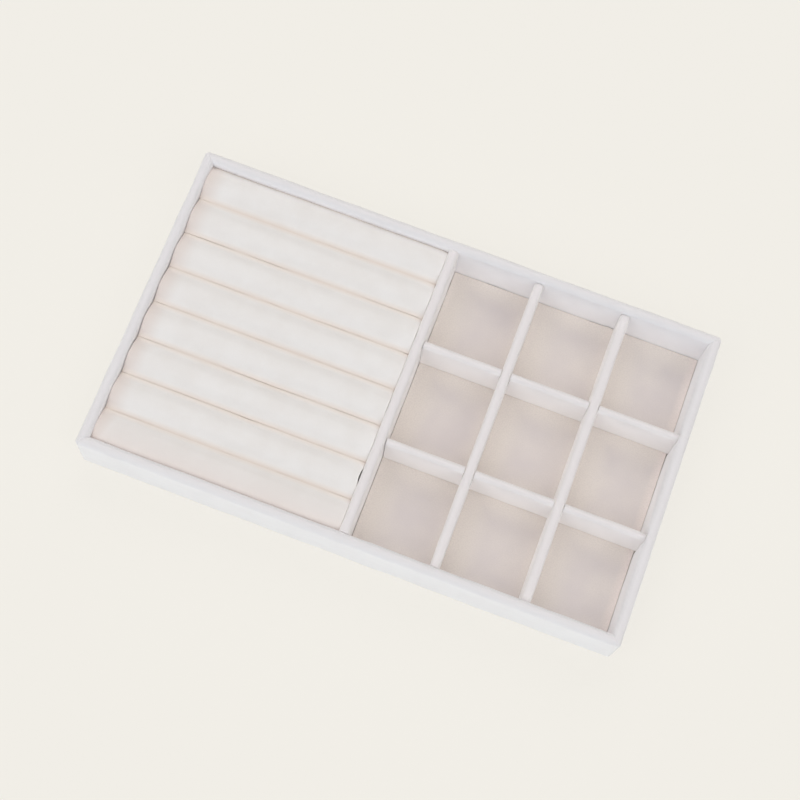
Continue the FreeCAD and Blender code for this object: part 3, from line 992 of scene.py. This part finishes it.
def middle_of(number):
    """The middle of a roll's foot."""
    low, high = room_of(number)
    lean = {1: -END_LEAN, ROLL_COUNT: END_LEAN}.get(number, 0)
    return Vector(((low.x + high.x) / 2, (low.y + high.y) / 2 + lean, low.z))


def loose_roll(number):
    """A roll as it is before it is pressed in: as wide as any other, and longer than its room."""
    low, high = room_of(number)
    mesh = bar_mesh(f"ring_roll_{number}", middle_of(number), 0, roll_velvet,
                    Length=high.x - low.x + 2 * ROLL_LONG, Width=roll_width,
                    Height=high.z - low.z - ROLL_SLIM, Crown_Radius=roll_width / 2 - CROWN_SPARE,
                    Foot_Radius=ROLL_FOOT, End_Length=ROLL_END, End_Draw=ROLL_DRAW, Spacing=ROLL_MESH,
                    Wave_Size=ROLL_WAVE, Wave_Depth=ROLL_DEPTH, Seed=number * ROLL_SEED)
    roll = placed(f"ring_roll_{number}_cushion", mesh)
    even = roll.modifiers.new("even", "REMESH")
    even.mode = "VOXEL"
    even.voxel_size = ROLL_MESH
    even.use_smooth_shade = True
    applied(roll)
    return roll


inner_low, inner_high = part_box("ring_roll_2_velvet")
roll_width = inner_high.y - inner_low.y + 2 * ROLL_SQUEEZE
rolls = [loose_roll(number) for number in range(1, ROLL_COUNT + 1)]
print(len(rolls), f"loose rolls, {roll_width / MM:.1f} mm wide")

# %% [markdown]
# ### Swelling the rolls
# Foam pushes its sleeve out until the cloth is taut. Scaling the bars would swell every place alike, so a
# short cloth simulation under inside pressure does it, for all the rolls in one run. A cap keeps any point
# from going too far.

# %% Swell the rolls
SWELL_FRAMES = 20
SWELL_PRESSURE = 4.0
SWELL_CAP = 1.4 * MM


def points_of(mesh):
    points = np.zeros(len(mesh.vertices) * 3, np.float32)
    mesh.vertices.foreach_get("co", points)
    return points.reshape(-1, 3).astype(float)


def move_points(mesh, points):
    mesh.vertices.foreach_set("co", points.astype(np.float32).ravel())
    mesh.update()


def swell(rolls):
    """Puffs all rolls up in one short run and writes the capped result to their meshes."""
    for roll in rolls:
        cloth = roll.modifiers.new("swell", "CLOTH")
        cloth.settings.use_pressure = True
        cloth.settings.uniform_pressure_force = SWELL_PRESSURE
        cloth.settings.effector_weights.gravity = 0.0
        cloth.point_cache.frame_start = 1
        cloth.point_cache.frame_end = SWELL_FRAMES
    for moment in range(1, SWELL_FRAMES + 1):
        scene.frame_set(moment)
    graph = bpy.context.evaluated_depsgraph_get()
    for roll in rolls:
        sewn = points_of(roll.data)
        puffed = points_of(roll.evaluated_get(graph).to_mesh())
        move = puffed - sewn
        reach = np.linalg.norm(move, axis=1, keepdims=True)
        capped = sewn + move * SWELL_CAP / np.maximum(reach, SWELL_CAP)
        print(f"{roll.name}: swelled {reach.mean() / MM:.2f} mm on average,",
              f"{reach.max() / MM:.2f} mm at most")
        roll.modifiers.clear()
        move_points(roll.data, capped)
    scene.frame_set(1)


swell(rolls)

# %% [markdown]
# ### Pressing the rolls in
# Each roll is pressed back to its room, which flattens its sides as on the real pad, and subdivided once.
# Then it is spread a little, so that the seams are full, and the pile of two neighbours rounds the groove
# that they share. One roll has a nick in its right end.

# %% Press the rolls in
NICKED_ROLL = 2
NICK_DEPTH, NICK_AT, NICK_REACH = 0.7 * MM, 2.5 * MM, 5.0 * MM  # its middle lies behind the roll's
GROOVE_ROUND = 6.0 * MM  # the pile of two rolls meets in a rounded groove
GROOVE_ROOT = 15.0 * MM  # height below which the sides stay flat
SEAM_FULL, SWELL_LOSS = 1.02, 0.04  # a spread that fills the seams, at the ends and more in the middle
SEAM_CREASE = 35  # degrees between faces, above which an edge is not shaded smooth


def groove_fill(to_seam, heights, to_middle, top):
    """How far the pile raises points beside a seam: a round between two crowns, fading out below."""
    crown = roll_width / 2
    centre = top - crown
    outer = crown + GROOVE_ROUND
    near = np.clip(to_seam, 0, to_middle * GROOVE_ROUND / outer)
    bare = centre + np.sqrt(crown ** 2 - (to_middle - near) ** 2)
    filled = centre + math.sqrt(outer ** 2 - to_middle ** 2) - np.sqrt(GROOVE_ROUND ** 2 - near ** 2)
    return (filled - bare) * np.clip((heights - GROOVE_ROOT) / (bare - GROOVE_ROOT), 0, 1)


def press_in(roll, number):
    """Keeps a roll inside its room, and rounds the grooves that it shares with its neighbours."""
    low, high = room_of(number)
    move_points(roll.data, np.clip(points_of(roll.data), low, high))
    finer = roll.modifiers.new("finer", "SUBSURF")
    finer.levels = finer.render_levels = 1
    applied(roll)
    points = points_of(roll.data)
    middle_x, middle, _ = middle_of(number)
    to_end = (points[:, 0] - middle_x) / (high.x - middle_x)
    points[:, 1] = middle + (points[:, 1] - middle) * (SEAM_FULL + SWELL_LOSS * (1 - to_end ** 2))
    points = np.clip(points, low, high)
    if number == NICKED_ROLL:
        beside = np.clip((points[:, 1] - middle - NICK_AT) / NICK_REACH, -1, 1)
        points[:, 0] = np.minimum(points[:, 0], high.x - NICK_DEPTH * (1 - beside ** 2))
    heights = points[:, 2].copy()
    if number > 1:
        points[:, 2] += groove_fill(points[:, 1] - low.y, heights, middle - low.y, high.z)
    if number < ROLL_COUNT:
        points[:, 2] += groove_fill(high.y - points[:, 1], heights, high.y - middle, high.z)
    move_points(roll.data, points)
    roll.data.shade_smooth()
    roll.data.set_sharp_from_angle(angle=math.radians(SEAM_CREASE))


for number, roll in enumerate(rolls, start=1):
    press_in(roll, number)
    dress(roll, "ring_pad", "velvet", f"ring_roll_{number}_velvet", f"ring_roll_{number}_foam")

# %% [markdown]
# ## The underside
# A sheet of thin felt is glued under the base and hides the turned-in edges of the velvet. It is flat, so
# a coarse grid for each of its two faces is enough.

# %% Glue on the underside
FELT_STEP = 6.0 * MM


def underside():
    low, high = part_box("underside_sheet")
    xs, ys = spaced(low.x, high.x, FELT_STEP), spaced(low.y, high.y, FELT_STEP)
    grid = np.stack([*np.meshgrid(xs, ys, indexing="ij"), np.full((len(xs), len(ys)), high.z)], axis=2)
    below = grid.copy()
    below[:, :, 2] = low.z
    return shell("underside_felt", grid, below, felt)


under = underside()
dress(under, "tray", "underside_felt", "underside_sheet")
